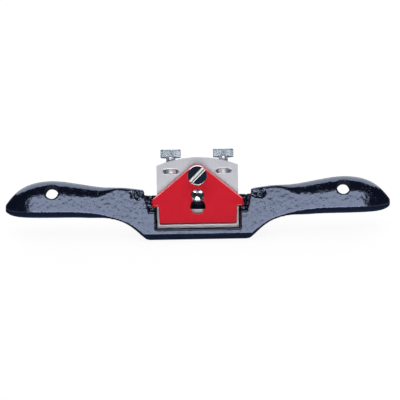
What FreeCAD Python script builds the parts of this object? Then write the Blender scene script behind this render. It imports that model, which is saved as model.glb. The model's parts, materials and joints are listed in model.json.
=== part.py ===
"""Metal spokeshave, flat-soled, with a double screw adjuster for its blade.

Most of it is described in a bed frame: x runs along the tool, y up the slope of the bed and z square to
the bed, with the origin at the middle of the mouth, level with the sole and with the blade's face. The bed
frame is then turned about X by BED_ANGLE and moved, so that in the part's own frame +Z is up, -Y is the
front (toe), the sole lies on Z = 0 and the origin is under the middle of the part's overall box. All sizes
are in millimetres.
"""

import FreeCAD
import Part

import math
import os

from FreeCAD import Placement, Rotation, Vector

# Driving dimensions ---------------------------------------------------------------------------------
LENGTH = 254.0  # over both handle tips
BED_ANGLE = 45.0  # slope of the bed above the sole
TOE_REACH = 10.8  # sole in front of the mouth's origin
HEEL_REACH = 14.2  # sole behind it
RUNNING_PLAY = 0.05  # radial play of a shaft in a hole
FIXED_PLAY = 0.01  # the same, for a stud fast in its thread
FACE_PLAY = 0.03  # between flat faces that bear on each other

BLADE_WIDTH = 54.0
BLADE_THICK = 2.0
BLADE_LOW = 0.3  # the edge rests this far up the bed, clear of the sole
BLADE_SHOULDER = 42.3  # outer corners of the rounded top
BLADE_CROWN = 47.6  # highest point of the rounded top
BLADE_BEVEL = 27.0  # ground angle
WINDOW_WIDTH = 11.0  # window that clears the retaining screw
WINDOW_LOW = 13.1
WINDOW_HIGH = 30.0
WINDOW_ROUND = 1.2

ADJUSTER_X = 17.5  # each adjuster's distance from the middle
ADJUSTER_DEPTH = 5.2  # its axis below the blade's face
FLANGE_Y = 38.3  # middle of the nut's flange
FLANGE_THICK = 2.6
FLANGE_RADIUS = 5.3
FLANGE_PLAY = 0.3  # each side of the flange in the blade's slot
FLANGE_SLOT_LENGTH = 10.3
NUT_NECK_RADIUS = 3.0
NUT_HEAD_RADIUS = 6.85
NUT_HEAD_LOW = 47.9
NUT_HEAD_HIGH = 53.2
NUT_CHAMFER = 0.5
NUT_BORE_HIGH = 51.6
STUD_RADIUS = 2.0
STUD_LOW = 21.0
STUD_HIGH = 50.0
STUD_CHAMFER = 0.4

CAP_FRONT = 5.2  # front face of the lever cap above the blade's face
CAP_BACK = 1.3  # its hollow back
CAP_LOW = 2.8  # lower edge
CAP_LIP_HIGH = 6.5  # the lip bears on the blade up to here
CAP_LOW_HALF = 25.4
CAP_SIDE_HALF = 26.0
CAP_EAR_HALF = 30.2
CAP_EAR_LOW = 14.35
CAP_EAR_HIGH = 18.2
CAP_SLOPE = 39.4  # of the edges that rise to the lobe
CAP_LOBE_RADIUS = 7.4
CAP_CHAMFER = 0.7
CAP_NOSE_RUN = 1.1  # bevel along the lower edge
CAP_NOSE_DROP = 2.2
THUMB_Y = 34.7  # thumb screw
THUMB_HEAD_RADIUS = 6.45
THUMB_HEAD_LOW = 5.9
THUMB_HEAD_HIGH = 9.9
THUMB_SHANK_RADIUS = 3.0
THUMB_CHAMFER = 0.5
THUMB_SLOT_WIDTH = 1.5
THUMB_SLOT_DEPTH = 1.7
THUMB_SLOT_TURN = 45.0
RETAINER_Y = 21.45  # retaining screw
RETAINER_HEAD_RADIUS = 4.1
RETAINER_RIM = 0.9  # straight side of its head, below the dome
RETAINER_DOME = 1.9
RETAINER_SHANK_RADIUS = 2.4
RETAINER_END = -13.0
RETAINER_SLOT_WIDTH = 1.2
RETAINER_SLOT_DEPTH = 1.5
RETAINER_SLOT_TURN = -36.0
SEAT_DEPTH = 1.6  # recess of the retaining screw's head
SEAT_RADIUS = 4.4
KEYHOLE_Y = 14.4
KEYHOLE_RADIUS = 5.0
KEYHOLE_NECK = 5.6

THROAT_HALF = 28.1  # half the opening between the cheeks
MOUTH_GAP = 0.9  # throat's front wall, in front of the origin
CHEEK_HIGH = 10.7
FRONT_HEIGHT = 10.6  # casting's front plane above the blade's face
FRONT_LEAN = 0.14  # rise of that plane per millimetre up the bed
TOE_FACE_HIGH = -3.7  # where the toe's front face meets the front plane
BED_LOW = 3.0  # blunt lower end of the bed
FROG_HALF = 24.5  # plate that carries the upper half of the blade
FROG_HIGH = 33.0
FROG_CORNER = 3.0
PLATE_BACK = -7.0
HEEL_HEIGHT = 3.0
WEB_FRONT = -0.5  # floor of the notches that the cap's ears move in
WEB_HIGH = 22.8
NOTCH_LOW_HALF = 32.4
NOTCH_HIGH_HALF = 35.4
RELIEF_HALF = 8.0  # pocket in the middle of the bed
RELIEF_LOW = 9.0
RELIEF_HIGH = 30.0
RELIEF_DEPTH = 1.2
BOSS_RADIUS = 4.8
BOSS_LOW = 19.0
BOSS_TAPER = 8.0
RETAINER_BOSS_RADIUS = 6.2
RETAINER_BOSS_BACK = -11.0
UNDERSIDE_RADIUS = 30.0  # hollow below the root of each arm
UNDERSIDE_X = 60.2
UNDERSIDE_Z = -17.9
SOLE_END_RADIUS = 8.0  # rounding between the sole and that hollow
HOLE_X = 96.2  # hanging hole
HOLE_Y = 25.0
HOLE_Z = 12.9
HOLE_RADIUS = 4.3
HOLE_TILT = 12.0  # its axis leans this much up the bed

# Sections of one arm and handle, from the throat outwards. Each is a rounded box in a plane across the
# tool: x, lowest y, highest y, how far its front lies behind the casting's front plane, thickness, top
# rounding (along y, along z) and bottom rounding (the same).
HANDLE_SECTIONS = [
    (THROAT_HALF, -9.8, 24.6, 0.0, 17.6, 1.6, 1.3, 2.2, 2.4),
    (31.0, -8.9, 24.9, 0.0, 17.6, 1.6, 1.3, 2.2, 2.4),
    (33.5, -7.6, 25.1, 0.0, 17.4, 1.6, 1.3, 2.2, 2.4),
    (36.0, -5.6, 25.4, 0.0, 17.0, 1.6, 1.3, 2.2, 2.4),
    (41.5, -1.1, 26.2, 0.0, 13.6, 1.6, 1.3, 2.4, 2.6),
    (48.0, 2.8, 27.0, 0.0, 10.6, 1.6, 1.3, 2.6, 2.8),
    (55.0, 5.1, 27.3, 0.0, 9.6, 2.0, 1.6, 2.8, 3.2),
    (62.0, 6.6, 27.7, 0.0, 9.8, 5.6, 3.8, 3.2, 4.0),
    (72.0, 7.9, 29.2, 0.0, 10.8, 8.2, 5.0, 3.8, 4.8),
    (84.0, 8.4, 31.3, 0.0, 11.8, 9.4, 5.5, 4.2, 5.3),
    (96.0, 8.5, 32.5, 0.0, 12.0, 9.8, 5.6, 4.4, 5.4),
    (106.0, 8.6, 31.6, 0.0, 11.6, 9.6, 5.4, 4.4, 5.3),
    (114.0, 8.9, 29.0, 0.8, 10.4, 8.8, 5.1, 4.4, 5.0),
    (120.0, 9.6, 25.1, 2.0, 8.4, 7.2, 4.0, 4.2, 4.0),
    (124.4, 11.0, 20.6, 3.2, 6.2, 4.4, 2.9, 3.6, 2.9),
    (LENGTH / 2, 13.0, 17.2, 4.6, 3.0, 1.9, 1.4, 1.9, 1.4),
]

# The nuts' knobs reach furthest back, so the middle of the overall box is this far behind the mouth.
KNOB_CORNER = NUT_HEAD_HIGH + ADJUSTER_DEPTH + NUT_HEAD_RADIUS - NUT_CHAMFER
KNOB_REACH = KNOB_CORNER * math.sin(math.radians(BED_ANGLE))
BOX_CENTRE = (KNOB_REACH - TOE_REACH) / 2
BED = Placement(Vector(0, -BOX_CENTRE, 0), Rotation(Vector(1, 0, 0), BED_ANGLE))
BEZIER_ROUND = 0.5523  # pole distance at which a cubic follows a quarter of an ellipse
OVER = 1.0  # how far a cutting tool runs past what it cuts
FAR = 80.0  # beyond any surface of a section across the tool


# Helpers --------------------------------------------------------------------------------------------
def in_part_frame(shape):
    """Moves a shape from the bed frame to the part's own frame."""
    moved = shape.copy()
    moved.Placement = BED.multiply(moved.Placement)
    return moved


def in_bed_frame(shape):
    """Moves a shape from the part's own frame to the bed frame."""
    moved = shape.copy()
    moved.Placement = BED.inverse().multiply(moved.Placement)
    return moved


def from_sole(behind, above):
    """The bed frame's y and z of a point behind the mouth's origin and above the sole."""
    slope = math.radians(BED_ANGLE)
    return (
        behind * math.cos(slope) + above * math.sin(slope),
        above * math.cos(slope) - behind * math.sin(slope),
    )


def box(low, high):
    """A box between two corners."""
    size = Vector(*high) - Vector(*low)
    return Part.makeBox(size.x, size.y, size.z, Vector(*low))


def polygon_face(points):
    return Part.Face(Part.makePolygon(points + points[:1]))


def plan_prism(points, low, high):
    """A prism square to the bed, from its x, y outline."""
    return polygon_face([Vector(x, y, low) for x, y in points]).extrude(Vector(0, 0, high - low))


def side_prism(points, half):
    """A prism along the tool, from its y, z outline, as far as half on each side."""
    return polygon_face([Vector(-half, y, z) for y, z in points]).extrude(Vector(2 * half, 0, 0))


def disc(x, y, radius, low, high):
    """A cylinder square to the bed."""
    return Part.makeCylinder(radius, high - low, Vector(x, y, low), Vector(0, 0, 1))


def along_bed(x, radius, low, high):
    """A cylinder on an adjuster's axis, up the bed."""
    return Part.makeCylinder(radius, high - low, Vector(x, low, -ADJUSTER_DEPTH), Vector(0, 1, 0))


def both_sides(shape):
    """The shape and its mirror image across the middle of the tool."""
    return [shape, shape.mirror(Vector(0, 0, 0), Vector(1, 0, 0))]


def edges_where(shape, test):
    """Edges of which every sampled point passes the test."""
    return [edge for edge in shape.Edges if all(test(point) for point in edge.discretize(5))]


def near(value, target):
    return abs(value - target) < 1e-4


# Casting --------------------------------------------------------------------------------------------
def front_plane(y):
    """Height of the casting's front plane above the blade's face."""
    return FRONT_HEIGHT + FRONT_LEAN * y


def handle_wire(x, low, high, back, thick, top_y, top_z, low_y, low_z):
    """One section of the handle: four straight sides joined by four elliptic corners."""
    corners = [
        # corner, its rounding along y and z, direction of the side before it and of the one after it
        ((high, 0.0), (top_y, top_z), (-1, 0), (0, -1)),
        ((high, -thick), (top_y, top_z), (0, 1), (-1, 0)),
        ((low, -thick), (low_y, low_z), (1, 0), (0, 1)),
        ((low, 0.0), (low_y, low_z), (0, -1), (1, 0)),
    ]

    def place(point):
        return Vector(x, point[0], front_plane(point[0]) - back + point[1])

    arcs = []
    for corner, rounding, before, after in corners:
        start = [c + b * r for c, b, r in zip(corner, before, rounding)]
        end = [c + a * r for c, a, r in zip(corner, after, rounding)]
        start_pole = [s + BEZIER_ROUND * (c - s) for s, c in zip(start, corner)]
        end_pole = [e + BEZIER_ROUND * (c - e) for e, c in zip(end, corner)]
        curve = Part.BezierCurve()
        curve.setPoles([place(point) for point in (start, start_pole, end_pole, end)])
        arcs.append(curve)
    edges = []
    for arc, following in zip(arcs, arcs[1:] + arcs[:1]):
        edges.append(arc.toShape())
        edges.append(Part.makeLine(arc.getPole(4), following.getPole(1)))
    return Part.Wire(edges)


def below_arm():
    """What is cut away under an arm: the sole's plane, a convex rounding and a hollow in one outline.

    It is drawn across the tool in the part's own frame and reaches from front to back.
    """
    rounding = SOLE_END_RADIUS
    rise = rounding - UNDERSIDE_Z
    run = math.sqrt((UNDERSIDE_RADIUS + rounding) ** 2 - rise**2)
    towards_hollow = Vector(run, 0, -rise).normalize()
    half_way = (towards_hollow + Vector(0, 0, -1)).normalize()
    centre = Vector(UNDERSIDE_X - run, -FAR, rounding)
    sole_end = centre + Vector(0, 0, -rounding)
    touch = centre + towards_hollow * rounding
    hollow_top = Vector(UNDERSIDE_X, -FAR, UNDERSIDE_Z + UNDERSIDE_RADIUS)
    hollow_end = Vector(UNDERSIDE_X + UNDERSIDE_RADIUS, -FAR, UNDERSIDE_Z)
    bottom = hollow_end + Vector(0, 0, -OVER)
    corners = [hollow_end, bottom, Vector(0, -FAR, bottom.z), Vector(0, -FAR, 0), sole_end]
    outline = [
        Part.Arc(sole_end, centre + half_way * rounding, touch).toShape(),
        Part.Arc(touch, hollow_top, hollow_end).toShape(),
    ]
    outline += [Part.makeLine(start, end) for start, end in zip(corners, corners[1:])]
    return in_bed_frame(Part.Face(Part.Wire(outline)).extrude(Vector(0, 2 * FAR, 0)))


def arm():
    """The right arm and handle, with the notch that clears the cap's ear and the hanging hole."""
    solid = Part.makeLoft([handle_wire(*section) for section in HANDLE_SECTIONS], True, False)
    inner = THROAT_HALF - OVER
    notch = plan_prism(
        [
            (inner, CHEEK_HIGH),
            (NOTCH_LOW_HALF, CHEEK_HIGH),
            (NOTCH_HIGH_HALF, WEB_HIGH + OVER),
            (NOTCH_HIGH_HALF, FROG_HIGH),
            (inner, FROG_HIGH),
        ],
        WEB_FRONT,
        FAR,
    )
    above_web = box((inner, WEB_HIGH, -FAR), (NOTCH_HIGH_HALF, FROG_HIGH, FAR))
    tilt = math.radians(HOLE_TILT)
    direction = Vector(0, math.sin(tilt), math.cos(tilt))
    start = Vector(HOLE_X, HOLE_Y, HOLE_Z) - direction * FAR / 2
    hole = Part.makeCylinder(HOLE_RADIUS, FAR, start, direction)
    return solid.cut([notch, above_web, hole, below_arm()])


def toe():
    """The bar in front of the mouth."""
    outline = [
        (-MOUTH_GAP, MOUTH_GAP - OVER),
        (-MOUTH_GAP, front_plane(-MOUTH_GAP)),
        (TOE_FACE_HIGH, front_plane(TOE_FACE_HIGH)),
        from_sole(-TOE_REACH, 0),
        from_sole(-TOE_REACH, -OVER),
    ]
    return side_prism(outline, THROAT_HALF + OVER)


def in_front_of_toe():
    """All that is in front of the toe's front face, to be cut away."""
    upper = Vector(0, TOE_FACE_HIGH, front_plane(TOE_FACE_HIGH))
    lower = Vector(0, *from_sole(-TOE_REACH, 0))
    along = (upper - lower).normalize() * FAR
    outward = along.cross(Vector(1, 0, 0)) * -1
    points = [lower - along, upper + along, upper + along + outward, lower - along + outward]
    return side_prism([(point.y, point.z) for point in points], LENGTH)


def bed_plate():
    """The sloping plate and the foot behind the mouth."""
    bed = -BLADE_THICK - FACE_PLAY
    foot = math.sqrt(2) * HEEL_HEIGHT - PLATE_BACK
    heel = [(foot, PLATE_BACK), from_sole(HEEL_REACH, HEEL_HEIGHT), from_sole(HEEL_REACH, -OVER)]
    front = [(BED_LOW, -BED_LOW - OVER), (BED_LOW, bed)]
    lower = side_prism([(WEB_HIGH, bed), (WEB_HIGH, PLATE_BACK)] + heel + front, THROAT_HALF + OVER)
    upper = box((-FROG_HALF, RELIEF_LOW, PLATE_BACK), (FROG_HALF, FROG_HIGH, bed))
    corners = edges_where(upper, lambda p: near(p.y, FROG_HIGH) and near(abs(p.x), FROG_HALF))
    return [lower, upper.makeFillet(FROG_CORNER, corners)]


def bosses():
    """Thickened places behind the plate, around the studs and the retaining screw."""
    found = []
    for side in (-ADJUSTER_X, ADJUSTER_X):
        found.append(along_bed(side, BOSS_RADIUS, BOSS_LOW, FROG_HIGH))
        start = Vector(side, BOSS_LOW - BOSS_TAPER, -ADJUSTER_DEPTH)
        found.append(Part.makeCone(1.0, BOSS_RADIUS, BOSS_TAPER, start, Vector(0, 1, 0)))
    found.append(disc(0, RETAINER_Y, RETAINER_BOSS_RADIUS, RETAINER_BOSS_BACK, PLATE_BACK + OVER))
    return found


def body_casting():
    bed = -BLADE_THICK - FACE_PLAY
    arms = both_sides(arm())
    solid = toe().fuse(arms + bed_plate() + bosses())
    above_bed = box((-THROAT_HALF, BED_LOW, bed), (THROAT_HALF, FROG_HIGH + OVER, FAR))
    below_sole = in_bed_frame(box((-LENGTH, -FAR, -FAR), (LENGTH, FAR, 0)))
    relief = box((-RELIEF_HALF, RELIEF_LOW, bed - RELIEF_DEPTH), (RELIEF_HALF, RELIEF_HIGH, 0))
    cuts = [above_bed, below_sole, in_front_of_toe(), relief]
    cuts.append(disc(0, RETAINER_Y, RETAINER_SHANK_RADIUS + RUNNING_PLAY, -FAR, 0))
    for side in (-ADJUSTER_X, ADJUSTER_X):
        cuts.append(along_bed(side, STUD_RADIUS + FIXED_PLAY, STUD_LOW, FROG_HIGH + OVER))
    return solid.cut(cuts).removeSplitter()


# Blade and adjusters --------------------------------------------------------------------------------
def blade():
    half = BLADE_WIDTH / 2
    outline = [
        Part.makeLine(Vector(half, BLADE_SHOULDER, 0), Vector(half, BLADE_LOW, 0)),
        Part.makeLine(Vector(half, BLADE_LOW, 0), Vector(-half, BLADE_LOW, 0)),
        Part.makeLine(Vector(-half, BLADE_LOW, 0), Vector(-half, BLADE_SHOULDER, 0)),
        Part.Arc(
            Vector(-half, BLADE_SHOULDER, 0), Vector(0, BLADE_CROWN, 0), Vector(half, BLADE_SHOULDER, 0)
        ).toShape(),
    ]
    plate = Part.Face(Part.Wire(outline)).extrude(Vector(0, 0, -BLADE_THICK))
    rise = OVER * math.tan(math.radians(BLADE_BEVEL))
    run = (BLADE_THICK + OVER) / math.tan(math.radians(BLADE_BEVEL))
    below_bevel = side_prism(
        [
            (BLADE_LOW - OVER, rise),
            (BLADE_LOW + run, -BLADE_THICK - OVER),
            (BLADE_LOW - OVER, -BLADE_THICK - OVER),
        ],
        half + OVER,
    )
    half_window = WINDOW_WIDTH / 2
    window = box((-half_window, WINDOW_LOW, -BLADE_THICK - OVER), (half_window, WINDOW_HIGH, OVER))
    corners = edges_where(window, lambda p: near(abs(p.x), half_window) and near(p.y, window_end(p.y)))
    upright = [edge for edge in corners if near(edge.Length, BLADE_THICK + 2 * OVER)]
    window = window.makeFillet(WINDOW_ROUND, upright)
    return plate.cut([below_bevel, window] + [flange_slot(side) for side in (-ADJUSTER_X, ADJUSTER_X)])


def window_end(y):
    """The nearer end of the blade's window."""
    return min((WINDOW_LOW, WINDOW_HIGH), key=lambda end: abs(end - y))


def flange_slot(x):
    """The round-ended slot in the blade that one nut's flange works in."""
    radius = FLANGE_THICK / 2 + FLANGE_PLAY
    reach = FLANGE_SLOT_LENGTH / 2 - radius
    low, high = -BLADE_THICK - OVER, OVER
    middle = box((x - reach, FLANGE_Y - radius, low), (x + reach, FLANGE_Y + radius, high))
    return middle.fuse([disc(x + end, FLANGE_Y, radius, low, high) for end in (-reach, reach)])


def adjusting_nut(x):
    """Thumb nut whose flange drives the blade; its knob stands clear above the blade."""
    flange_low = FLANGE_Y - FLANGE_THICK / 2
    head = along_bed(x, NUT_HEAD_RADIUS, NUT_HEAD_LOW, NUT_HEAD_HIGH)
    rims = edges_where(head, lambda p: near(p.y, NUT_HEAD_LOW) or near(p.y, NUT_HEAD_HIGH))
    head = head.makeChamfer(NUT_CHAMFER, rims)
    flange = along_bed(x, FLANGE_RADIUS, flange_low, flange_low + FLANGE_THICK)
    neck = along_bed(x, NUT_NECK_RADIUS, flange_low, NUT_HEAD_HIGH - OVER)
    bore = along_bed(x, STUD_RADIUS + RUNNING_PLAY, flange_low - OVER, NUT_BORE_HIGH)
    return head.fuse([flange, neck]).cut(bore).removeSplitter()


def stud(x):
    """Threaded stud fast in the casting, on which the nut runs."""
    solid = along_bed(x, STUD_RADIUS, STUD_LOW, STUD_HIGH)
    end = edges_where(solid, lambda p: near(p.y, STUD_HIGH))
    return solid.makeChamfer(STUD_CHAMFER, end)


# Lever cap and its screws ---------------------------------------------------------------------------
def cap_outline():
    """Outline of the lever cap: lower edge, ears, sloping edges and the round lobe."""
    slope = math.radians(CAP_SLOPE)
    touch_x = CAP_LOBE_RADIUS * math.sin(slope)
    touch_y = THUMB_Y + CAP_LOBE_RADIUS * math.cos(slope)
    rise = (CAP_EAR_HALF - touch_x) * math.tan(slope)
    right = [
        Vector(touch_x, touch_y, 0),
        Vector(CAP_EAR_HALF, touch_y - rise, 0),
        Vector(CAP_EAR_HALF, CAP_EAR_LOW, 0),
        Vector(CAP_SIDE_HALF, CAP_EAR_LOW, 0),
        Vector(CAP_LOW_HALF, CAP_LOW, 0),
    ]
    points = right + [Vector(-p.x, p.y, 0) for p in reversed(right)]
    edges = [Part.makeLine(start, end) for start, end in zip(points, points[1:])]
    crown = Vector(0, THUMB_Y + CAP_LOBE_RADIUS, 0)
    edges.append(Part.Arc(points[-1], crown, points[0]).toShape())
    return Part.Wire(edges)


def lever_cap():
    solid = Part.Face(cap_outline()).extrude(Vector(0, 0, CAP_FRONT - FACE_PLAY))
    solid.translate(Vector(0, 0, FACE_PLAY))
    ears = edges_where(solid, lambda p: near(abs(p.x), CAP_EAR_HALF) and p.y > CAP_EAR_LOW + OVER)
    upright = [edge for edge in ears if near(edge.Length, CAP_FRONT - FACE_PLAY)]
    solid = solid.makeFillet(CAP_EAR_HIGH - CAP_EAR_LOW - OVER, upright)
    front = edges_where(solid, lambda p: near(p.z, CAP_FRONT) and p.y > CAP_LOW + OVER / 10)
    solid = solid.makeChamfer(CAP_CHAMFER, front)
    nose = side_prism(
        [
            (CAP_LOW - OVER, CAP_FRONT - CAP_NOSE_DROP * (1 + OVER / CAP_NOSE_RUN)),
            (CAP_LOW + CAP_NOSE_RUN + OVER, CAP_FRONT + CAP_NOSE_DROP * OVER / CAP_NOSE_RUN),
            (CAP_LOW - OVER, CAP_FRONT + CAP_NOSE_DROP * OVER / CAP_NOSE_RUN),
        ],
        CAP_EAR_HALF,
    )
    hollow = box((-FAR, CAP_LIP_HIGH, -OVER), (FAR, FAR, CAP_BACK))
    keyhole = disc(0, KEYHOLE_Y, KEYHOLE_RADIUS, -OVER, FAR)
    neck_half = KEYHOLE_NECK / 2
    neck = box((-neck_half, KEYHOLE_Y, -OVER), (neck_half, RETAINER_Y, FAR))
    neck_end = disc(0, RETAINER_Y, neck_half, -OVER, FAR)
    floor = CAP_FRONT - SEAT_DEPTH
    seat = box((-SEAT_RADIUS, KEYHOLE_Y, floor), (SEAT_RADIUS, RETAINER_Y, FAR))
    seat_end = disc(0, RETAINER_Y, SEAT_RADIUS, floor, FAR)
    thumb_hole = disc(0, THUMB_Y, THUMB_SHANK_RADIUS + RUNNING_PLAY, -OVER, FAR)
    return solid.cut([nose, hollow, keyhole, neck, neck_end, seat, seat_end, thumb_hole])


def screw_slot(y, width, turn, floor):
    """The tool for a screwdriver slot in a screw square to the bed."""
    slot = box((-FAR, -width / 2, floor), (FAR, width / 2, FAR))
    slot.rotate(Vector(0, 0, 0), Vector(0, 0, 1), turn)
    slot.translate(Vector(0, y, 0))
    return slot


def thumb_screw():
    """Screw in the cap's lobe; its tip bears on the blade and clamps it."""
    head = disc(0, THUMB_Y, THUMB_HEAD_RADIUS, THUMB_HEAD_LOW, THUMB_HEAD_HIGH)
    rims = edges_where(head, lambda p: near(p.z, THUMB_HEAD_LOW) or near(p.z, THUMB_HEAD_HIGH))
    head = head.makeChamfer(THUMB_CHAMFER, rims)
    shank = disc(0, THUMB_Y, THUMB_SHANK_RADIUS, FACE_PLAY, THUMB_HEAD_HIGH - OVER)
    tip = edges_where(shank, lambda p: near(p.z, FACE_PLAY))
    shank = shank.makeChamfer(THUMB_CHAMFER, tip)
    slot = screw_slot(THUMB_Y, THUMB_SLOT_WIDTH, THUMB_SLOT_TURN, THUMB_HEAD_HIGH - THUMB_SLOT_DEPTH)
    return head.fuse(shank).cut(slot).removeSplitter()


def retaining_screw():
    """Domed screw in the bed that holds the lever cap down."""
    low = CAP_FRONT - SEAT_DEPTH + FACE_PLAY
    rim = low + RETAINER_RIM
    top = low + RETAINER_RIM + RETAINER_DOME
    profile = [
        Part.makeLine(Vector(0, 0, RETAINER_END), Vector(RETAINER_SHANK_RADIUS, 0, RETAINER_END)),
        Part.makeLine(
            Vector(RETAINER_SHANK_RADIUS, 0, RETAINER_END), Vector(RETAINER_SHANK_RADIUS, 0, low)
        ),
        Part.makeLine(Vector(RETAINER_SHANK_RADIUS, 0, low), Vector(RETAINER_HEAD_RADIUS, 0, low)),
        Part.makeLine(Vector(RETAINER_HEAD_RADIUS, 0, low), Vector(RETAINER_HEAD_RADIUS, 0, rim)),
        dome_arc(rim, top),
        Part.makeLine(Vector(0, 0, top), Vector(0, 0, RETAINER_END)),
    ]
    solid = Part.Face(Part.Wire(profile)).revolve(Vector(0, 0, 0), Vector(0, 0, 1), 360)
    solid.translate(Vector(0, RETAINER_Y, 0))
    slot = screw_slot(RETAINER_Y, RETAINER_SLOT_WIDTH, RETAINER_SLOT_TURN, top - RETAINER_SLOT_DEPTH)
    return solid.cut(slot)


def dome_arc(rim, top):
    """Arc of the domed head, from its rim to its top."""
    height = top - rim
    radius = (RETAINER_HEAD_RADIUS**2 + height**2) / (2 * height)
    half_angle = math.asin(RETAINER_HEAD_RADIUS / radius) / 2
    middle = Vector(radius * math.sin(half_angle), 0, top - radius * (1 - math.cos(half_angle)))
    return Part.Arc(Vector(RETAINER_HEAD_RADIUS, 0, rim), middle, Vector(0, 0, top)).toShape()


# Nodes ----------------------------------------------------------------------------------------------
def nodes():
    return {
        "body_casting": body_casting(),
        "blade": blade(),
        "lever_cap": lever_cap(),
        "thumb_screw": thumb_screw(),
        "retaining_screw": retaining_screw(),
        "left_adjusting_nut": adjusting_nut(-ADJUSTER_X),
        "right_adjusting_nut": adjusting_nut(ADJUSTER_X),
        "left_stud": stud(-ADJUSTER_X),
        "right_stud": stud(ADJUSTER_X),
    }


def main():
    os.makedirs("parts", exist_ok=True)
    for name, shape in nodes().items():
        placed = in_part_frame(shape)
        placed.exportStep(f"parts/{name}.step")
        print(name, placed.isValid(), len(placed.Solids), round(placed.Volume))


main()
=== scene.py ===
"""Looks of a metal spokeshave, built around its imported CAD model.

The casting is enamelled iron, the lever cap is painted, the blade is ground, and the screws and nuts are
plated. Lengths are given in millimetres and turned into metres where they are used. Most places are worked
out in the bed frame: x along the tool, y up the slope that carries the blade, z square to that slope. Its
origin is where the plane of the blade's face meets the plane of the sole, in the middle of the tool.
"""

import json
import math
from contextlib import contextmanager

import bmesh
import bpy
import numpy as np
from mathutils import Matrix, Vector, noise


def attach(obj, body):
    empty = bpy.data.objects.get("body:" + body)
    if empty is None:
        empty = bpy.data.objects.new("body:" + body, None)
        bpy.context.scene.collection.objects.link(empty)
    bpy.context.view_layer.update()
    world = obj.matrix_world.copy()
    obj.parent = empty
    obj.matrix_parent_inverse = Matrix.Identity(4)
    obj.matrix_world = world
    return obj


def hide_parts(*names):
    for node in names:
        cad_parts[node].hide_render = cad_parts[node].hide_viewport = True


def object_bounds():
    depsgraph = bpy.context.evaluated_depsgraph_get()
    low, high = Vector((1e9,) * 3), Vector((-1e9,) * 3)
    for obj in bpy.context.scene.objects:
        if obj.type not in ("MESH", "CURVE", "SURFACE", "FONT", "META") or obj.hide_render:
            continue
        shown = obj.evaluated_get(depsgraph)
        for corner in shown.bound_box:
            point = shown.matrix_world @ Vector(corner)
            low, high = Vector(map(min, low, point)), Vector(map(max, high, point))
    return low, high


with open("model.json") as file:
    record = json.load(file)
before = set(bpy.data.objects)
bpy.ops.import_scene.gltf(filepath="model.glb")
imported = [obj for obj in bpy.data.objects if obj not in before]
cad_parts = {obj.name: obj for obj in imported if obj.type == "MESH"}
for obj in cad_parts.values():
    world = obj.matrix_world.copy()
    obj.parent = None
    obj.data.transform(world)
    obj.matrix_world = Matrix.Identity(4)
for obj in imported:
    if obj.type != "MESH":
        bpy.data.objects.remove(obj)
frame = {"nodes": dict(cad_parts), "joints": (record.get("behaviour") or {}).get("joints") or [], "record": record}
cad_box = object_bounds()
nodes = frame["nodes"]

MM = 0.001

# Casting, mm
CAST_VOXEL = 0.52  # size of its mesh's faces
CAST_SMOOTHING = 5  # passes, which round its edges
SOLE_SNAP = 0.08  # what is this close to the sole is flat
BED_GAP = 0.03  # between its bed and the blade
BED_HALF_WIDTH = 28.5
BED_NEAR = 0.4  # what is this close to the bed's plane is the bed
RELIEF_START = 0.4  # height above the sole where the relief begins
RELIEF_RISE = 1.2  # and how much higher it is full
ENAMEL_WAVE = 0.055  # how far the enamel's surface wanders from flat
ENAMEL_WAVE_SIZE = 2.3
ENAMEL_SWELL = 0.05  # the same for the slow unevenness of the cast surface
ENAMEL_SWELL_SIZE = 11.0
DIMPLE_DEPTH = 0.8  # rough patch at the top inner corner of each arm
DIMPLE_SIZE = 1.9
DIMPLE_X = 40.2
DIMPLE_Y = 22.4
DIMPLE_HALF_WIDTH = 4.6
DIMPLE_HALF_HEIGHT = 3.4
DIMPLE_FADE = 1.4  # squared distance, in half sizes, where the patch ends
DIMPLE_SINK = 0.35  # how far it is sunk, as a part of its depth
NOTCH = (28.8, 36.4, 9.8, 26.6)  # rough recess beside each of the cap's ears: across, then up the bed
NOTCH_DEPTH = 0.9
NOTCH_SINK = 0.25  # the same for the recess
NOTCH_BUMP = 0.1  # and its highest bump
NOTCH_FLOOR = 3.0  # what faces the front above this is the arm, not the recess
FACES_FRONT = 0.6  # a normal this far along the bed's faces the front

# Cap and blade, mm
CAP_EDGE = 0.28  # rounding of painted edges
BLADE_EDGE = 0.14
SLOT_LIP = 0.42  # rounding of the lips of the blade's slots
SLOT_REACH = (8.0, 3.0)  # what is this near to a slot's middle, across and up the bed, is the slot's
HONED_AND_HIGHLIGHT_STRIP = 3.4  # lighter strip along the cutting edge, partly a band polished by honing and partly a painted highlight against the cap's shade
HONED_AND_HIGHLIGHT_FADE = 0.8  # and how far it fades out
ROUNDED_ANGLE = 28.0  # degrees; flatter edges aren't rounded
FILLET_STEPS = 4
FILLET_REACH = 0.45  # the most of a run that a fillet takes

# Nuts, screws and studs, mm and degrees
FLANGE = 2.6  # thickness of the nuts' flanges
FLANGE_RADIUS = 5.3
NECK_RADIUS = 3.0
NUT_BORE = 2.05
KNOB_HEIGHT = 5.3
KNOB_WALL = 1.6  # closed end of the nut's bore
KNURL_PITCH = 1.5
KNURL_DEPTH = 0.5
KNURL_FADE = 0.25  # the knurl runs out over this at both ends
THUMB_SHANK = 3.0
THUMB_HEAD_FOOT = 5.9  # underside of its head, above the blade's face
THUMB_SLOT = (1.9, 1.5, 0.5)  # width, depth and how far the mouth opens
THUMB_SLOT_TURN = 45.0
RETAINING_SHANK = 2.4
RETAINING_HEAD = 2.76  # height, with the dome
RETAINING_DOME = 1.4
RETAINING_SLOT = (1.2, 1.5, 0.08)
RETAINING_SLOT_TURN = -36.0
DOME_STEPS = 15
THREAD_PITCH = 0.8
THREAD_DEPTH = 0.42
THREAD_STEP = 0.1  # between the rings of a thread or knurl
FAR = 50.0  # further than any piece reaches from its axis

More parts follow.
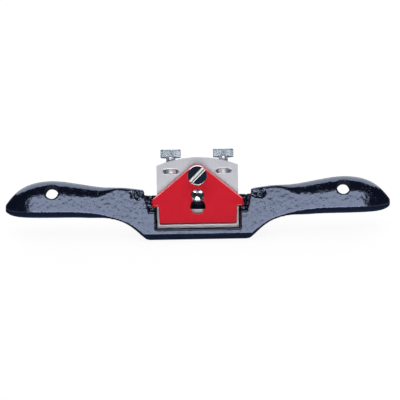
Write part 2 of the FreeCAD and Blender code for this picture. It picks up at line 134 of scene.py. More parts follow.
# Camera
VIEW_ELEVATION = 41.0
VIEW_DISTANCE = 2.0  # m
VIEW_WIDTH = 265.2  # what the frame spans at the object
VIEW_ROLL = 1.0
VIEW_RIGHT = 1.2  # middle of the frame, from the bed frame's origin
VIEW_UP = 19.0
SENSOR = 36.0

# Studio. A light is its name, azimuth and elevation, width and height in m, and radiance.
LIGHTS = [
    ("front_box", 0, 27.5, 1.1, 0.54, 4.2),
    ("edge_strip", 0, 10.5, 1.1, 0.36, 6.0),
    ("back_box", 180, 46, 3.6, 3.0, 3.1),
]
LIGHT_DISTANCE = 1.6  # m
FLOOR_REACH = 9.0  # m
FLOOR_DROP = 0.0002  # m
FLOOR_GLOW = 0.9
MOUTH_SHADE = ((28.5, 28.7), (5, 6))  # a painted shadow darkens the floor within these of the mouth, which glows beyond: x, y, mm

# Colour of the studio's walls, by the upward part of the direction: dark below, a pale band, dark above
BELOW = (0.07, 0.11, 0.19)
HORIZON = (0.45, 0.45, 0.45)
ABOVE = (0.014, 0.022, 0.038)
SKY = [(-0.9, BELOW), (-0.12, BELOW), (-0.05, HORIZON), (0.1, HORIZON), (0.2, ABOVE), (0.9, ABOVE)]


# Frame ----------------------------------------------------------------------------------------------
def find_bed():
    """The matrix from the bed frame to the row's frame."""
    slide = next(joint["axis"] for joint in frame["joints"] if joint["name"] == "blade_slide")
    turn = Matrix.Rotation(math.atan2(slide[2], slide[1]), 4, "X")
    square = turn.to_3x3() @ Vector((0, 0, 1))
    face = max(v.co.dot(square) for v in nodes["blade"].data.vertices)
    return Matrix.Translation((0, face / square.y, 0)) @ turn


BED = find_bed()
BED_NORMAL = BED.to_3x3() @ Vector((0, 0, 1))


def bed_box(node):
    """Lowest and highest corner of a CAD node in the bed frame, in mm."""
    inverse = BED.inverted()
    points = np.array([inverse @ v.co for v in nodes[node].data.vertices]) / MM
    return points.min(0), points.max(0)


def bed_face():
    """Height of the casting's bed, under the blade."""
    return bed_box("blade")[0][2] - BED_GAP


def blade_slots():
    """Middles of the blade's two slots in the bed frame, where the nuts' flanges run."""
    boxes = [bed_box(side + "_adjusting_nut") for side in ("left", "right")]
    return [((low[0] + high[0]) / 2, low[1] + FLANGE / 2) for low, high in boxes]


def round_node(node, along):
    """Where a round CAD node's axis is, and its radius, foot and top, in the bed frame in mm.

    along is 2 where its axis is square to the bed and 1 where it runs up the bed.
    """
    low, high = bed_box(node)
    middle = (low + high) / 2
    return (middle[0], middle[3 - along]), (high[0] - low[0]) / 2, low[along], high[along]


def standing_at(x, y):
    """Local Z square to the bed, from the blade's face, at a place on it."""
    return BED @ Matrix.Translation((x * MM, y * MM, 0))


def lying_at(x, z):
    """Local Z up the bed, from its foot, at a place across it."""
    return BED @ Matrix.Translation((x * MM, 0, z * MM)) @ Matrix.Rotation(-math.pi / 2, 4, "X")


# Mesh helpers ---------------------------------------------------------------------------------------
@contextmanager
def editing(mesh):
    """The mesh as a bmesh, written back afterwards."""
    shape = bmesh.new()
    shape.from_mesh(mesh)
    yield shape
    shape.to_mesh(mesh)
    shape.free()


def vertex_array(mesh, attribute="co"):
    """Three numbers of each vertex, as rows."""
    flat = np.empty(len(mesh.vertices) * 3)
    mesh.vertices.foreach_get(attribute, flat)
    return flat.reshape(-1, 3)


def closed_mesh(name, vertices, faces):
    """A mesh from points in mm, its faces turned outwards."""
    mesh = bpy.data.meshes.new(name)
    mesh.from_pydata((np.array(vertices) * MM).tolist(), [], faces)
    with editing(mesh) as shape:
        bmesh.ops.recalc_face_normals(shape, faces=shape.faces)
    return mesh


def new_object(name, data):
    piece = bpy.data.objects.new(name, data)
    bpy.context.scene.collection.objects.link(piece)
    return piece


def apply_modifiers(piece):
    """Puts the result of all of a piece's modifiers into its mesh."""
    graph = bpy.context.evaluated_depsgraph_get()
    mesh = bpy.data.meshes.new_from_object(piece.evaluated_get(graph))
    piece.modifiers.clear()
    piece.data = mesh
    return piece


def welded_copy(node, name):
    """A new piece with a CAD node's shape, its vertices welded and its flat faces whole."""
    mesh = nodes[node].data.copy()
    mesh.materials.clear()
    with editing(mesh) as shape:
        bmesh.ops.remove_doubles(shape, verts=shape.verts, dist=0.002 * MM)
        bmesh.ops.dissolve_limit(
            shape,
            angle_limit=math.radians(0.3),
            verts=shape.verts,
            edges=shape.edges,
            use_dissolve_boundaries=False,
        )
    mesh.name = name
    for data in [a.name for a in mesh.attributes if a.name.startswith("custom_normal")]:
        mesh.attributes.remove(mesh.attributes[data])
    return new_object(name, mesh)


def smooth_shading(piece, sharp_angle=35.0):
    """Smooth shading that keeps flat faces flat and edges over an angle sharp."""
    piece.data.shade_smooth()
    piece.data.set_sharp_from_angle(angle=math.radians(sharp_angle))
    weighted = piece.modifiers.new("normals", "WEIGHTED_NORMAL")
    weighted.mode = "FACE_AREA"
    weighted.weight = 100
    weighted.keep_sharp = True
    return apply_modifiers(piece)


def rounded_edges(piece, width, segments=3):
    """Rounds a piece's sharp edges by width mm."""
    bevel = piece.modifiers.new("round", "BEVEL")
    bevel.width = width * MM
    bevel.segments = segments
    bevel.limit_method = "ANGLE"
    bevel.angle_limit = math.radians(ROUNDED_ANGLE)
    bevel.use_clamp_overlap = False
    bevel.miter_outer = "MITER_ARC"
    return apply_modifiers(piece)


def filleted(points, radius):
    """A (radius, height) outline with each inner corner rounded."""
    found = [points[0]]
    for before, corner, after in zip(points, points[1:], points[2:]):
        corner, before, after = Vector(corner), Vector(before), Vector(after)
        reach = min(radius, (before - corner).length * FILLET_REACH, (after - corner).length * FILLET_REACH)
        start = corner + (before - corner).normalized() * reach
        end = corner + (after - corner).normalized() * reach
        for step in range(FILLET_STEPS + 1):
            t = step / FILLET_STEPS
            found.append(tuple(start.lerp(corner, t).lerp(corner.lerp(end, t), t)))
    found.append(points[-1])
    return found


def divided(start, end):
    """A straight run with rings close enough for a thread or a knurl."""
    count = math.ceil(math.dist(start, end) / THREAD_STEP)
    return [start] + [tuple(Vector(start).lerp(Vector(end), (i + 1) / count)) for i in range(count)]


def turned(name, outline, segments, radius_at=None):
    """A solid of revolution about Z from a (radius, height) outline in mm that starts and ends on the axis.

    radius_at(radius, height, turn) gives the radius to use at an angle, for knurls and threads.
    """
    angles = np.linspace(0, 2 * math.pi, segments, endpoint=False)
    rings = [point for before, point in zip(outline, outline[1:-1]) if math.dist(before, point) > 0.001]
    vertices = [(0, 0, outline[0][1])]
    for radius, height in rings:
        radii = np.full(segments, radius) if radius_at is None else radius_at(radius, height, angles)
        vertices += zip(radii * np.cos(angles), radii * np.sin(angles), np.full(segments, height))
    vertices.append((0, 0, outline[-1][1]))
    faces = []
    last = len(vertices) - 1
    top = last - segments
    for i in range(segments):
        following = (i + 1) % segments
        faces.append((0, 1 + following, 1 + i))
        for low in range(1, top, segments):
            high = low + segments
            faces.append((low + i, low + following, high + following, high + i))
        faces.append((last, top + i, top + following))
    return new_object(name, closed_mesh(name, vertices, faces))


def place(piece, matrix):
    """Moves a piece by changing its mesh, so that its object stays at the origin."""
    piece.data.transform(matrix)
    piece.data.update()
    return piece


def cut_slot(piece, top, turn, size):
    """Cuts a screwdriver slot with a slightly open mouth across a piece that stands on its own Z axis."""
    width, depth, flare = size
    half, floor, over = width / 2, top - depth, top + 2
    side = [(half, floor), (half, top - flare), (half + flare, top), (half + flare, over)]
    section = [(-half, floor)] + side + [(-y, z) for y, z in reversed(side[1:])]
    reach = 20.0
    count = len(section)
    vertices = [(x, y, z) for x in (-reach, reach) for y, z in section]
    faces = [tuple(range(count)), tuple(range(2 * count - 1, count - 1, -1))]
    faces += [(i, (i + 1) % count, count + (i + 1) % count, count + i) for i in range(count)]
    cutter = new_object("slot", closed_mesh("slot", vertices, faces))
    cutter.data.transform(Matrix.Rotation(math.radians(turn), 4, "Z"))
    cut = piece.modifiers.new("slot", "BOOLEAN")
    cut.operation = "DIFFERENCE"
    cut.solver = "EXACT"
    cut.object = cutter
    apply_modifiers(piece)
    bpy.data.objects.remove(cutter)


def triangle(t):
    """A wave from 0 to 1 and back, once for each whole number."""
    return np.abs(2 * (t - np.floor(t)) - 1)


def threaded(radius, top=math.inf):
    """A radius_at for turned(): a screw thread where the outline has this radius, up to top."""

    def radius_at(r, height, turn):
        if abs(r - radius) > 0.01 or height > top:
            return np.full(len(turn), r)
        return r - THREAD_DEPTH * triangle(height / THREAD_PITCH - turn / (2 * math.pi))

    return radius_at


# Materials ------------------------------------------------------------------------------------------
class Nodes:
    """Short ways to add nodes to a node tree. Each value is a constant or another node's output."""

    def __init__(self, tree):
        self.tree = tree

    def feed(self, socket, value):
        if isinstance(value, bpy.types.NodeSocket):
            self.tree.links.new(value, socket)
        else:
            socket.default_value = value

    def add(self, kind, inputs=None, **settings):
        node = self.tree.nodes.new(kind)
        for key, value in settings.items():
            setattr(node, key, value)
        for socket, value in (inputs or {}).items():
            self.feed(node.inputs[socket], value)
        return node

    def axes(self, vector):
        """The X, Y and Z of a vector."""
        return self.add("ShaderNodeSeparateXYZ", {"Vector": vector}).outputs[:]

    def ranged(self, value, low, high, to_low, to_high):
        """A value between low and high brought between to_low and to_high."""
        inputs = {"From Min": low, "From Max": high, "To Min": to_low, "To Max": to_high, "Value": value}
        return self.add("ShaderNodeMapRange", inputs).outputs["Result"]

    def under(self, value, low, high):
        """1 where a length is under low mm, falling to 0 at high mm."""
        return self.ranged(value, low * MM, high * MM, 1, 0)

    def over(self, value, low, high):
        """0 where a length is under low mm, rising to 1 at high mm."""
        return self.ranged(value, low * MM, high * MM, 0, 1)

    def maths(self, operation, *values):
        """The values added, multiplied and so on, one after the other."""
        result = values[0]
        for value in values[1:]:
            result = self.add("ShaderNodeMath", {0: result, 1: value}, operation=operation).outputs["Value"]
        return result

    def maths_of_one(self, operation, value):
        return self.add("ShaderNodeMath", {0: value}, operation=operation).outputs["Value"]

    def blended(self, mask, first, second):
        """First where the mask is 0 and second where it is 1."""
        return self.add("ShaderNodeMix", {0: mask, 2: first, 3: second}, data_type="FLOAT").outputs[0]

    def colours(self, mask, first, second):
        """The same for two colours."""
        first, second = (c if isinstance(c, bpy.types.NodeSocket) else (*c, 1.0) for c in (first, second))
        return self.add("ShaderNodeMix", {0: mask, 6: first, 7: second}, data_type="RGBA").outputs[2]


class Finish(Nodes):
    """A material with one Principled shader."""

    def __init__(self, name, **sockets):
        self.material = bpy.data.materials.new(name)
        self.material.use_nodes = True
        super().__init__(self.material.node_tree)
        self.shader = self.tree.nodes["Principled BSDF"]
        for socket, value in sockets.items():
            self.set(socket.replace("_", " "), value)
        self.place = self.add("ShaderNodeTexCoord").outputs["Object"]

    def set(self, socket, value):
        self.feed(self.shader.inputs[socket], value)

    def mapped(self, matrix, stretch=(1, 1, 1)):
        """Object coordinates in the local frame of a matrix, each axis times stretch."""
        inverse = matrix.inverted()
        inputs = {"Vector": self.place, "Rotation": inverse.to_euler(), "Location": inverse.to_translation()}
        turned_place = self.add("ShaderNodeMapping", inputs).outputs["Vector"]
        return self.add("ShaderNodeMapping", {"Vector": turned_place, "Scale": stretch}).outputs["Vector"]

    def noise(self, size, detail, rough=0.5, coordinates=None):
        """Noise whose features are about size mm wide."""
        inputs = {"Scale": 1 / (size * MM), "Detail": detail, "Roughness": rough}
        return self.add("ShaderNodeTexNoise", {"Vector": coordinates or self.place, **inputs}).outputs["Fac"]

    def from_axis(self, coordinates):
        """Distance from the local Z axis."""
        flat = self.add("ShaderNodeVectorMath", {0: coordinates, 1: (1, 1, 0)}, operation="MULTIPLY")
        return self.add("ShaderNodeVectorMath", {0: flat.outputs[0]}, operation="LENGTH").outputs["Value"]

    def bump(self, height, depth, normal=None):
        """Height from 0 to 1 as relief depth mm deep, on top of another relief's normal."""
        inputs = {"Strength": 1.0, "Distance": depth * MM, "Height": height}
        if normal:
            inputs["Normal"] = normal
        return self.add("ShaderNodeBump", inputs).outputs["Normal"]


def in_hanging_holes(finish):
    """The roughness of the walls of the hanging holes, which the enamel only thinly covers; 0 elsewhere."""
    walls = []
    for mount in frame["record"]["mounts"]:
        if mount["kind"] != "bore":
            continue
        axis = Vector(mount["axis"]).to_track_quat("Z", "Y").to_matrix().to_4x4()
        off_axis = finish.from_axis(finish.mapped(Matrix.Translation(mount["pos_m"]) @ axis))
        radius = mount["dims"]["r_mm"]
        walls.append(finish.ranged(off_axis, (radius + 0.1) * MM, (radius + 0.35) * MM, 0.95, 0))
    return finish.maths("MAXIMUM", *walls)


def ground_bare(finish):
    """1 on the casting's sole and bed, which are ground bare, and 0 on the enamel."""
    height = finish.axes(finish.place)[2]
    across, _, off_bed = finish.axes(finish.mapped(BED))
    bed_top = bed_face()
    bed = finish.maths(
        "MULTIPLY",
        finish.under(off_bed, bed_top + 0.06, bed_top + 0.14),
        finish.over(off_bed, bed_top - 0.24, bed_top - 0.16),
        finish.under(finish.maths_of_one("ABSOLUTE", across), 27.9, 28.05),
    )
    return finish.maths("MAXIMUM", finish.under(height, 0.10, 0.18), bed)


def enamel_pits(finish):
    """0 in the enamel's small pits and 1 elsewhere; they cluster, and are rarer out on the handles."""
    single = finish.ranged(finish.noise(0.8, 2, 0.6), 0.30, 0.37, 0, 1)
    from_middle = finish.maths_of_one("ABSOLUTE", finish.axes(finish.place)[0])
    rarer = finish.ranged(from_middle, 60 * MM, 90 * MM, 0, 0.12)
    clusters = finish.maths("SUBTRACT", finish.noise(4.0, 2), rarer)
    return finish.maths("MAXIMUM", single, finish.ranged(clusters, 0.44, 0.52, 1, 0))


def dark_enamel():
    """Navy-black stoved enamel with orange peel and small pits; the sole and the bed are ground bare."""
    finish = Finish("dark_enamel", IOR=1.8, Specular_Tint=(0.60, 0.71, 1.0, 1))
    bare = ground_bare(finish)
    enamel = finish.colours(finish.noise(9.0, 3), (0.0022, 0.0030, 0.0072), (0.0042, 0.0055, 0.0115))
    grind = finish.noise(0.22, 2, coordinates=finish.mapped(BED, (0.02, 1, 1)))
    metal = finish.colours(grind, (0.33, 0.33, 0.34), (0.56, 0.56, 0.57))
    finish.set("Base Color", finish.colours(bare, enamel, metal))
    finish.set("Metallic", bare)
    gloss = finish.ranged(finish.noise(1.6, 4), 0.3, 0.7, 0.075, 0.15)
    ground = finish.ranged(grind, 0.2, 0.8, 0.26, 0.42)
    rough = finish.blended(bare, gloss, ground)
    finish.set("Roughness", finish.maths("MAXIMUM", rough, in_hanging_holes(finish)))
    enamelled = finish.ranged(bare, 0, 1, 1, 0)
    peel = finish.noise(1.1, 3, 0.55)
    normal = finish.bump(finish.maths("MULTIPLY", peel, enamelled), 0.05)
    normal = finish.bump(finish.maths("MULTIPLY", enamel_pits(finish), enamelled), 0.16, normal)
    finish.set("Normal", finish.bump(finish.maths("MULTIPLY", grind, bare), 0.006, normal))
    return finish.material


def red_enamel():
    """Bright red gloss paint, a little uneven, over a flat cast cap."""
    finish = Finish("red_enamel", IOR=1.5, Coat_Weight=0.4, Coat_Roughness=0.05, Coat_IOR=1.5)
    colour = finish.colours(finish.noise(6.0, 4), (0.55, 0.0085, 0.0205), (0.65, 0.0125, 0.0285))
    finish.set("Base Color", colour)
    finish.set("Roughness", finish.ranged(finish.noise(1.4, 3), 0.3, 0.7, 0.16, 0.26))
    fine = finish.bump(finish.noise(1.5, 2), 0.014)
    finish.set("Normal", finish.bump(finish.noise(7.0, 1), 0.05, fine))
    return finish.material


def ground_steel():
    """Surface-ground tool steel: fine lines up the blade, faint cloudy stains, a lighter strip along the edge that
    is partly polished by honing and partly a painted highlight, and painted shade on the walls of its slots.
    """
    finish = Finish("ground_steel", Metallic=1.0)
    lines = finish.noise(0.16, 3, 0.6, finish.mapped(BED, (1, 0.012, 0.2)))
    cloud = finish.noise(8.0, 4)
    both = finish.maths("ADD", finish.ranged(lines, 0.3, 0.7, 0, 0.7), finish.ranged(cloud, 0.3, 0.7, 0, 0.3))
    _, up, off_face = finish.axes(finish.mapped(BED))
    # painted highlight: the strip along the cutting edge is coloured lighter, partly for a band polished by honing
    honed_and_painted_highlight = finish.under(up, HONED_AND_HIGHLIGHT_STRIP, HONED_AND_HIGHLIGHT_STRIP + HONED_AND_HIGHLIGHT_FADE)
    ground = finish.colours(both, (0.68, 0.685, 0.735), (0.84, 0.845, 0.885))
    colour = finish.colours(honed_and_painted_highlight, ground, (0.96, 0.95, 0.97))
    below_face = finish.under(off_face, -0.45, -0.35)
    for x, y in blade_slots():
        off_slot = finish.from_axis(finish.mapped(standing_at(x, y)))
        near = finish.under(off_slot, SLOT_REACH[0], SLOT_REACH[0] + 0.2)
        # painted shade: the slot walls below the blade's face are coloured near black, standing in for the shade
        # inside the slots
        walls = finish.maths("MULTIPLY", near, below_face)
        colour = finish.colours(walls, colour, (0.03, 0.03, 0.035))
    finish.set("Base Color", colour)
    finish.set("Roughness", finish.ranged(both, 0, 1, 0.48, 0.40))
    finish.set("Normal", finish.bump(lines, 0.004))
    return finish.material


def plated(name, axis, low, high, rough, zones=()):
    """Bright plating over a turned surface, with fine rings about an axis and light handling marks.

    low and high are colours and rough a pair of roughnesses. Each zone is (mask function, colour,
    roughness) for places that look different.
    """
    finish = Finish(name, Metallic=1.0)
    local = finish.mapped(axis)
    ring_pitch = 0.28 * MM
    phase = finish.maths("MULTIPLY", finish.from_axis(local), 2 * math.pi / ring_pitch)
    smudge = finish.noise(2.4, 4)
    colour = finish.colours(smudge, low, high)
    roughness = finish.ranged(smudge, 0.3, 0.7, *rough)
    # the zones colour the painted highlights and painted shade of the screws and nuts, and the matt saw-cut slot
    for mask_of, zone_colour, zone_roughness in zones:
        mask = mask_of(finish, local)
        colour = finish.colours(mask, colour, zone_colour)
        roughness = finish.blended(mask, roughness, zone_roughness)
    finish.set("Base Color", colour)
    finish.set("Roughness", roughness)
    finish.set("Normal", finish.bump(finish.maths_of_one("SINE", phase), 0.0008))
    return finish.material


def round_zone(radius, low, high):
    """A mask of what is nearer than radius mm to the local Z axis and from low to high mm along it."""

    def mask(finish, local):
        height = finish.axes(local)[2]
        near = finish.under(finish.from_axis(local), radius - 0.1, radius + 0.1)
        above = finish.over(height, low - 0.02, low + 0.02)
        below = finish.under(height, high - 0.02, high + 0.02)
        return finish.maths("MULTIPLY", near, above, below)

    return mask


def bands(*spans):
    """A mask of the places whose local Y in mm is in one of the (low, high) spans."""

    def mask(finish, local):
        found = []
        for low, high in spans:
            off = finish.maths("SUBTRACT", finish.axes(local)[1], (low + high) / 2 * MM)
            half = (high - low) / 2
            found.append(finish.under(finish.maths_of_one("ABSOLUTE", off), half - 0.03, half + 0.03))
        return finish.maths("MAXIMUM", *found)

    return mask


def thumb_plate(axis):
    """Mirror plate whose saw-cut slot is pale and matt, partly a painted highlight, with a painted shadow line
    along it where the mirror plate shows between the pale bands.
    """
    across = axis @ Matrix.Rotation(math.radians(THUMB_SLOT_TURN), 4, "Z")
    # painted highlight and painted shadow: two pale matt bands in the slot, and between them a line of dark mirror
    # plate standing in for a shadow
    sawn_highlight_and_shadow_line = (bands((-1.45, -0.7), (-0.1, 1.45)), (0.95, 0.94, 0.93), 0.45)
    return plated("thumb_plate", across, (0.66, 0.67, 0.70), (0.76, 0.77, 0.80), (0.05, 0.10), [sawn_highlight_and_shadow_line])


def retaining_plate(axis):
    """Bright plate with a slot coloured near black as painted shade."""
    across = axis @ Matrix.Rotation(math.radians(RETAINING_SLOT_TURN), 4, "Z")
    # painted shade: the slot is coloured near black, standing in for the shade inside it
    painted_shade_slot = (bands((-0.58, 0.64)), (0.03, 0.03, 0.035), 0.5)
    return plated("retaining_plate", across, (0.80, 0.81, 0.83), (0.90, 0.91, 0.93), (0.14, 0.22), [painted_shade_slot])


def nut_plate(name, axis, top):
    """Bluish zinc with its neck and flange coloured near white as a painted highlight, and its end coloured darker
    as painted shade against the back light's glare.
    """
    # painted highlight: the neck and flange are coloured near white
    neck = (round_zone(FLANGE_RADIUS + 0.5, -FAR, top - KNOB_HEIGHT + 0.1), (0.93, 0.93, 0.95), 0.42)
    # painted shade: the end face is coloured darker to damp the glare of the back light on it
    end = (round_zone(FAR, top - 0.35, top + 1), (0.25, 0.265, 0.28), 0.34)
    return plated(name, axis, (0.39, 0.45, 0.50), (0.51, 0.57, 0.62), (0.24, 0.34), [neck, end])


def stud_steel(name, axis):
    return plated(name, axis, (0.40, 0.40, 0.41), (0.55, 0.55, 0.56), (0.24, 0.36))


# Pieces ---------------------------------------------------------------------------------------------
def wave(point, size, seed):
    """Smooth noise from -1 to 1 whose features are about size mm wide."""
    return noise.noise(Vector(point) / size + Vector((seed, -seed, seed / 2)))


def cast_relief(points, normals):
    """How far each point of the casting stands out, in mm: none where the iron is ground."""
    row = points / MM
    inverse = np.array(BED.inverted())
    bed = (points @ inverse[:3, :3].T + inverse[:3, 3]) / MM
    x, y, z = np.abs(bed[:, 0]), bed[:, 1], bed[:, 2]
    to_front = normals @ np.array(BED_NORMAL) > FACES_FRONT
    on_bed = (np.abs(z - bed_face()) < BED_NEAR) & (x < BED_HALF_WIDTH)
    enamelled = np.clip((row[:, 2] - RELIEF_START) / RELIEF_RISE, 0, 1) * np.where(on_bed, 0, 1)
    lift = np.zeros(len(points))
    for i, point in enumerate(row):
        lift[i] = ENAMEL_WAVE * wave(point, ENAMEL_WAVE_SIZE, 3.1)
        lift[i] += ENAMEL_SWELL * wave(point, ENAMEL_SWELL_SIZE, 7.7)
    off_patch = ((x - DIMPLE_X) / DIMPLE_HALF_WIDTH) ** 2 + ((y - DIMPLE_Y) / DIMPLE_HALF_HEIGHT) ** 2
    patch = np.clip(DIMPLE_FADE - off_patch, 0, 1) * to_front
    for i in np.flatnonzero(patch):
        pitted = wave(row[i], DIMPLE_SIZE, 12.3) + 0.5 * wave(row[i], DIMPLE_SIZE / 2, 5.9)
        lift[i] += DIMPLE_DEPTH * patch[i] * (pitted - DIMPLE_SINK)
    in_notch = (x > NOTCH[0]) & (x < NOTCH[1]) & (y > NOTCH[2]) & (y < NOTCH[3])
    for i in np.flatnonzero(in_notch & ~(to_front & (z > NOTCH_FLOOR))):
        lift[i] += NOTCH_DEPTH * min(wave(row[i], DIMPLE_SIZE, 21.7) - NOTCH_SINK, NOTCH_BUMP)
    return lift * enamelled


def cast_body():
    """The casting: its edges rounded as a casting's are, and its skin a little uneven."""
    piece = welded_copy("body_casting", "cast_body")
    remesh = piece.modifiers.new("remesh", "REMESH")
    remesh.mode = "VOXEL"
    remesh.voxel_size = CAST_VOXEL * MM
    smooth = piece.modifiers.new("smooth", "SMOOTH")
    smooth.factor = 0.5
    smooth.iterations = CAST_SMOOTHING
    apply_modifiers(piece)
    mesh = piece.data
    points, normals = vertex_array(mesh), vertex_array(mesh, "normal")
    points = points + normals * cast_relief(points, normals)[:, None] * MM
    points[:, 2] = np.where(points[:, 2] < SOLE_SNAP * MM, 0, points[:, 2])
    points = np.clip(points, np.array(cad_box[0]), np.array(cad_box[1]))
    mesh.vertices.foreach_set("co", points.ravel())
    mesh.update()
    mesh.shade_smooth()
    return piece


def lever_cap():
    return smooth_shading(rounded_edges(welded_copy("lever_cap", "painted_cap"), CAP_EDGE))


def blade():
    """The blade, the lips of the slots that its nuts work in eased."""
    piece = welded_copy("blade", "ground_blade")
    inverse = BED.inverted()
    slots = blade_slots()
    reach_x, reach_y = SLOT_REACH
    lips = []
    with editing(piece.data) as shape:
        for edge in shape.edges:
            x, y, z = inverse @ ((edge.verts[0].co + edge.verts[1].co) / 2) / MM
            in_slot = any(abs(x - middle[0]) < reach_x and abs(y - middle[1]) < reach_y for middle in slots)
            if in_slot and abs(z) < 0.05 and edge.calc_face_angle(0) > 1:
                lips.append(edge)
        bmesh.ops.bevel(shape, geom=lips, offset=SLOT_LIP * MM, segments=4, profile=0.5, affect="EDGES")
    return smooth_shading(rounded_edges(piece, BLADE_EDGE, segments=2))


def thumb_screw():
    """Slotted screw with a wide flat head, a bevelled rim and a turned shank, and its axis."""
    middle, radius, foot, top = round_node("thumb_screw", along=2)
    shank, neck, head = THUMB_SHANK, THUMB_SHANK - 0.25, THUMB_HEAD_FOOT
    outline = [(0, foot), (shank - 0.5, foot), (shank, foot + 0.5)]
    outline += [(shank, head - 0.5), (neck, head - 0.3), (neck, head)]
    outline += [(radius - 0.3, head), (radius, head + 0.3)]
    outline += [(radius, top - 0.25), (radius - 0.25, top), (0, top)]
    piece = turned("thumb_screw_plated", filleted(outline, 0.12), 160)
    cut_slot(piece, top, THUMB_SLOT_TURN, THUMB_SLOT)
    axis = standing_at(*middle)
    return smooth_shading(place(piece, axis), 30), axis


def retaining_screw():
    """Domed slotted screw, its shank threaded below the head, and its axis."""
    middle, radius, foot, top = round_node("retaining_screw", along=2)
    shank = RETAINING_SHANK
    rim = top - RETAINING_DOME
    under = top - RETAINING_HEAD
    sphere = (radius**2 + RETAINING_DOME**2) / (2 * RETAINING_DOME)
    dome = []
    for step in range(1, DOME_STEPS):
        turn = math.asin(radius / sphere) * (1 - step / DOME_STEPS)
        dome.append((sphere * math.sin(turn), top - sphere * (1 - math.cos(turn))))
    thread_top = under - 1.2
    outline = [(0, foot), (shank - 0.4, foot)]
    outline += divided((shank, foot + 0.4), (shank, thread_top))
    head = [(shank, thread_top), (shank, under), (radius, under), (radius, rim), dome[0]]
    outline += filleted(head, 0.15)
    outline += dome[1:] + [(0, top)]
    piece = turned("retaining_screw_plated", outline, 128, threaded(shank, thread_top - 0.2))
    cut_slot(piece, top, RETAINING_SLOT_TURN, RETAINING_SLOT)
    axis = standing_at(*middle)
    return smooth_shading(place(piece, axis), 40), axis


def adjusting_nut(node, name):
    """Knurled thumb nut with its neck and the flange that works in the blade's slot, and its axis."""
    middle, radius, foot, top = round_node(node, along=1)
    knob = top - KNOB_HEIGHT
    knurl_low, knurl_high = knob + 0.3, top - 0.5
    bore_end = top - KNOB_WALL
    flange_top = foot + FLANGE
    teeth = round(2 * math.pi * radius / KNURL_PITCH)
    outline = [(0, bore_end), (NUT_BORE, bore_end), (NUT_BORE, foot), (FLANGE_RADIUS, foot)]
    outline += [(FLANGE_RADIUS, flange_top), (NECK_RADIUS, flange_top), (NECK_RADIUS, knob)]
    outline += [(radius - 0.3, knob), (radius, knurl_low)]
    crown = [(radius, knurl_high), (radius - 0.5, top), (radius - 1.2, top), (radius - 1.5, top - 0.25)]
    crown += [(1.3, top - 0.25), (0.9, top - 0.6), (0, top - 0.7)]
    outline = filleted(outline, 0.14) + divided((radius, knurl_low), (radius, knurl_high))
    outline += filleted(crown, 0.1)

    def knurl(r, height, turn):
        if abs(r - radius) > 0.01:
            return np.full(len(turn), r)
        along = (height - knurl_low) / KNURL_PITCH
        around = turn * teeth / (2 * math.pi)
        full = min(1.0, (height - knurl_low) / KNURL_FADE, (knurl_high - height) / KNURL_FADE)
        ridge = np.minimum(triangle(around + along), triangle(around - along))
        return r - KNURL_DEPTH * max(full, 0.0) * (1 - ridge) ** 1.3

    axis = lying_at(*middle)
    return smooth_shading(place(turned(name, outline, teeth * 9, knurl), axis), 60), axis


def stud(node, name):
    """Threaded stud, fast in the casting, and its axis."""
    middle, radius, foot, top = round_node(node, along=1)
    outline = [(0, foot), (radius - 0.3, foot)]
    outline += divided((radius, foot + 0.1), (radius, top - 0.4))
    outline += [(radius - 0.4, top), (0, top)]
    axis = lying_at(*middle)
    return smooth_shading(place(turned(name, outline, 48, threaded(radius)), axis), 60), axis


def finish_piece(piece, material, body, node):
    piece.data.materials.clear()
    piece.data.materials.append(material)
    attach(piece, body)
    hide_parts(node)


def build():
    finish_piece(cast_body(), dark_enamel(), "body", "body_casting")
    finish_piece(lever_cap(), red_enamel(), "lever_cap", "lever_cap")
    finish_piece(blade(), ground_steel(), "blade", "blade")
    piece, axis = thumb_screw()
    finish_piece(piece, thumb_plate(axis), "thumb_screw", "thumb_screw")
    piece, axis = retaining_screw()
    finish_piece(piece, retaining_plate(axis), "retaining_screw", "retaining_screw")
    for side in ("left", "right"):
        node = side + "_adjusting_nut"
        piece, axis = adjusting_nut(node, side + "_knurled_nut")
        top = bed_box(node)[1][1]
        finish_piece(piece, nut_plate(side + "_nut_plate", axis, top), side + "_nut", node)
        node = side + "_stud"
        piece, axis = stud(node, side + "_threaded_stud")
        finish_piece(piece, stud_steel(side + "_stud_steel", axis), "body", node)


# Studio ---------------------------------------------------------------------------------------------
def direction(azimuth, elevation):
    """Unit vector from the object; azimuth 0 is the front, 90 the right."""
    a, e = math.radians(azimuth), math.radians(elevation)
    return Vector((math.sin(a) * math.cos(e), -math.cos(a) * math.cos(e), math.sin(e)))


def soft_light(name, azimuth, elevation, width, height, radiance):
    """A soft box of this radiance that faces the object."""
    light = bpy.data.lights.new(name, "AREA")
    light.shape = "RECTANGLE"
    light.size = width
    light.size_y = height
    light.energy = radiance * math.pi * width * height
    lamp = new_object(name, light)
    lamp.location = direction(azimuth, elevation) * LIGHT_DISTANCE
    lamp.rotation_mode = "QUATERNION"
    lamp.rotation_quaternion = direction(azimuth, elevation).to_track_quat("Z", "Y")
    lamp.visible_camera = False


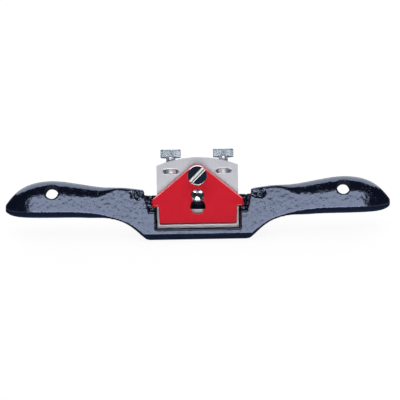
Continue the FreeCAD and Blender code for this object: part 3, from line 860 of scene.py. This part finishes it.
def floor():
    """A pale floor that glows, so that it looks white, except under the mouth, where a painted shadow takes its
    glow away.
    """
    mesh = bpy.data.meshes.new("floor")
    corners = [(-FLOOR_REACH, -FLOOR_REACH), (FLOOR_REACH, -FLOOR_REACH), (FLOOR_REACH, FLOOR_REACH)]
    corners.append((-FLOOR_REACH, FLOOR_REACH))
    mesh.from_pydata([(x, y, -FLOOR_DROP) for x, y in corners], [], [(0, 1, 2, 3)])
    piece = new_object("floor", mesh)
    finish = Finish("pale_floor", Base_Color=(0.07, 0.07, 0.07, 1), Roughness=0.85, Specular_IOR_Level=0.1)
    finish.set("Emission Color", (1, 1, 1, 1))
    from_mouth = finish.axes(finish.mapped(Matrix.Translation(BED.to_translation())))
    # painted shadow: the glow falls to nothing under the mouth, standing in for the sole's contact shadow
    glow_past_painted_shadow = []
    for off, (low, high) in zip(from_mouth, MOUTH_SHADE):
        glow_past_painted_shadow.append(finish.ranged(finish.maths_of_one("ABSOLUTE", off), low * MM, high * MM, 0, FLOOR_GLOW))
    finish.set("Emission Strength", finish.maths("MAXIMUM", *glow_past_painted_shadow))
    mesh.materials.append(finish.material)
    piece.visible_glossy = False


def walls():
    """A world whose colour depends on the height alone, as SKY gives it."""
    world = bpy.data.worlds.new("studio")
    world.use_nodes = True
    sky = Nodes(world.node_tree)
    height = sky.axes(sky.add("ShaderNodeTexCoord").outputs["Generated"])[2]
    ramp = sky.add("ShaderNodeValToRGB", {"Fac": sky.ranged(height, -1, 1, 0, 1)})
    stops = ramp.color_ramp.elements
    for level, colour in SKY:
        stops.new((level + 1) / 2).color = (*colour, 1)
    stops.remove(stops[0])
    stops.remove(stops[-1])
    sky.feed(sky.tree.nodes["Background"].inputs["Color"], ramp.outputs["Color"])
    bpy.context.scene.world = world


def studio():
    bpy.context.scene.view_settings.view_transform = "Standard"
    walls()
    for light in LIGHTS:
        soft_light(*light)
    floor()


def camera():
    lens = bpy.data.cameras.new("camera")
    lens.sensor_width = SENSOR
    lens.lens = SENSOR * VIEW_DISTANCE / (VIEW_WIDTH * MM)
    lens.clip_end = 30
    view = new_object("camera", lens)
    back = direction(0, VIEW_ELEVATION)
    turn = Matrix.Rotation(math.radians(-VIEW_ROLL), 3, back)
    right = turn @ Vector((1, 0, 0))
    up = back.cross(right)
    middle = BED.to_translation() + (right * VIEW_RIGHT + up * VIEW_UP) * MM
    view.rotation_mode = "QUATERNION"
    view.rotation_quaternion = Matrix((right, up, back)).transposed().to_quaternion()
    view.location = middle + back * VIEW_DISTANCE
    bpy.context.scene.camera = view


build()
studio()
camera()
